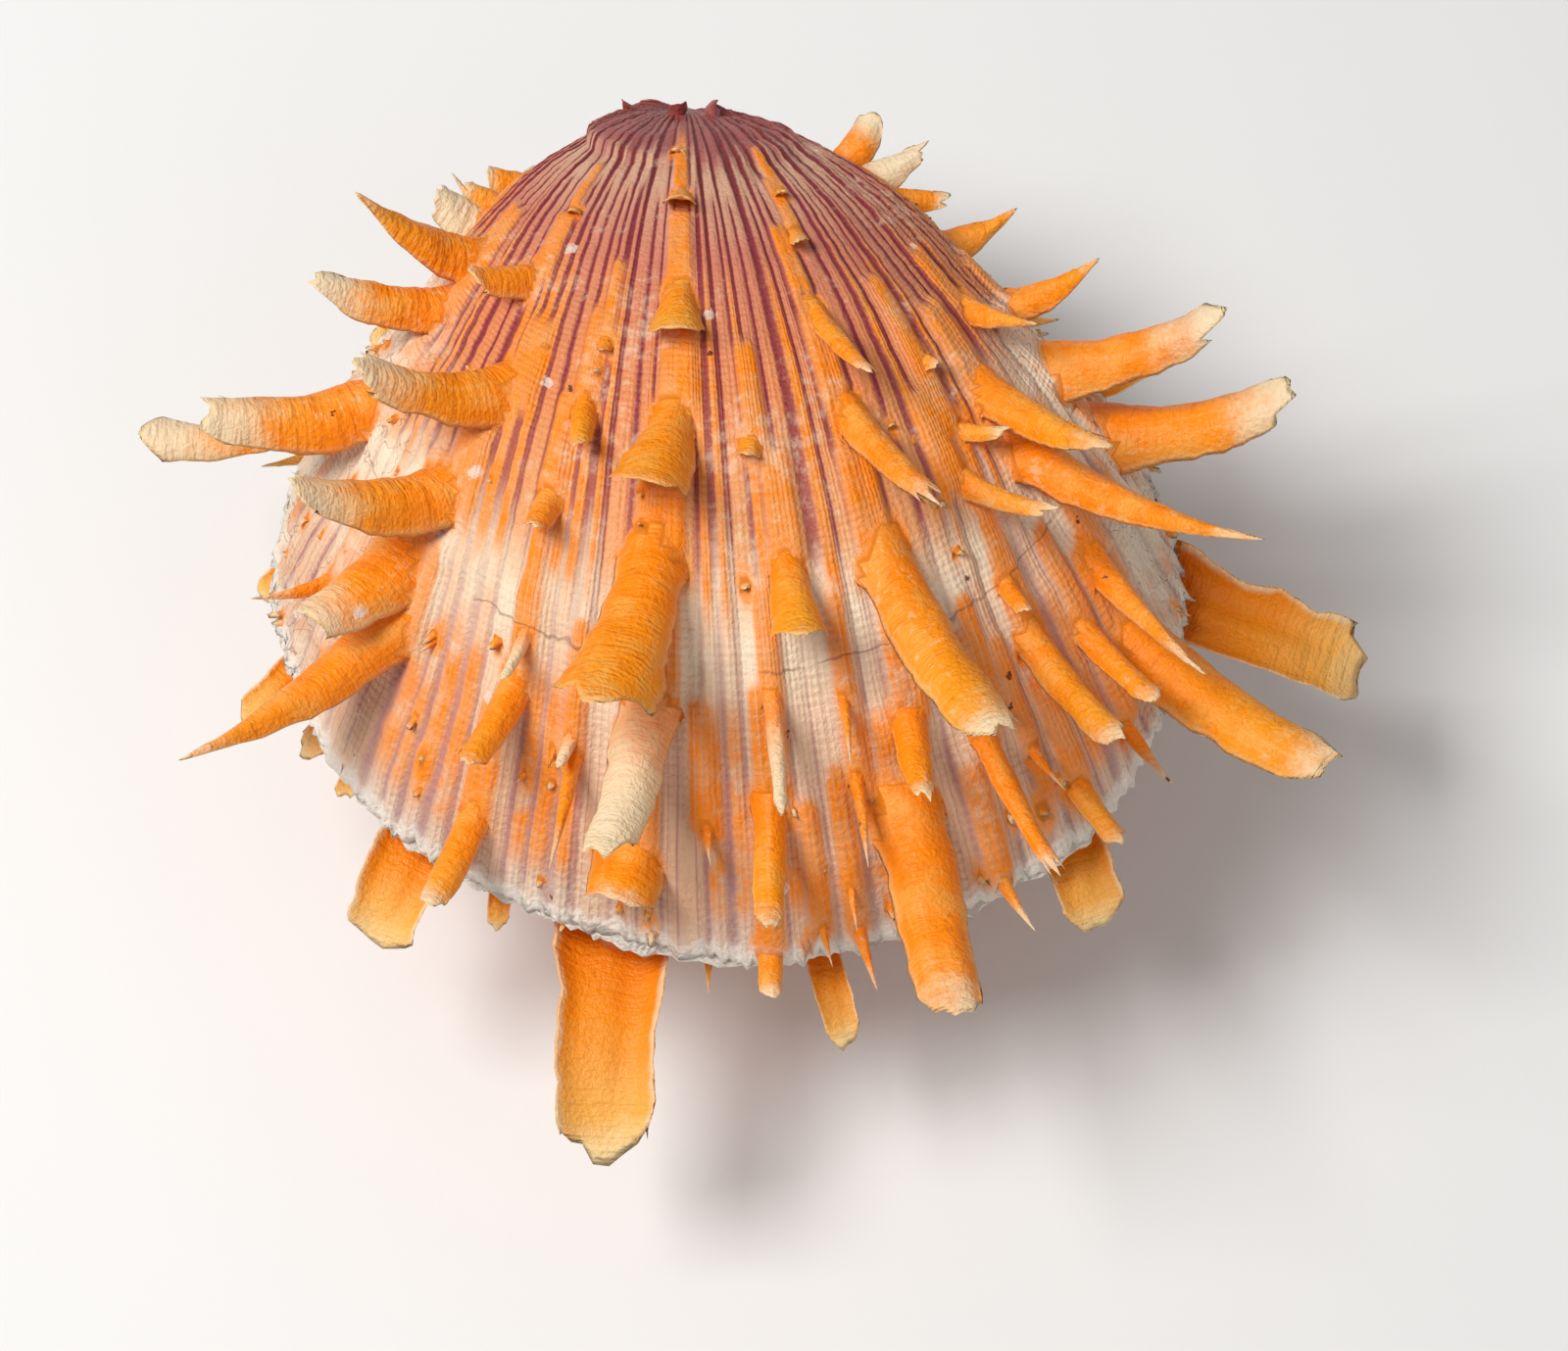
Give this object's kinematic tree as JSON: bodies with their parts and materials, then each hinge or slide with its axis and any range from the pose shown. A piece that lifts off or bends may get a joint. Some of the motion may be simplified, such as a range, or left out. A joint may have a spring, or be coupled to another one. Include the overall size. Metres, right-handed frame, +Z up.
{
  "type": "thorny oyster shell",
  "caption": "Closed two-valved thorny oyster shell with radiating ribs and long gutter-shaped spines, resting on a flat scar.",
  "frame": {"origin": "middle of the flat attachment scar under the lower valve, on the surface that the shell rests on", "axes": "+Z up, square to the plane where the valves meet; +Y to the hinge and the umbo; -Y to the gape; +X to the right seen from the gape"},
  "size_m": [0.1299, 0.1188, 0.0657],
  "materials": {
    "upper_valve_shell": "satin, orange and salmon spines, purple-red umbo, cream bands",
    "lower_valve_shell": "satin, deep orange spines with pale rims"
  },
  "bodies": {
    "root": {"upper_valve": "upper_valve_shell", "lower_valve": "lower_valve_shell"}
  },
  "joints": []
}
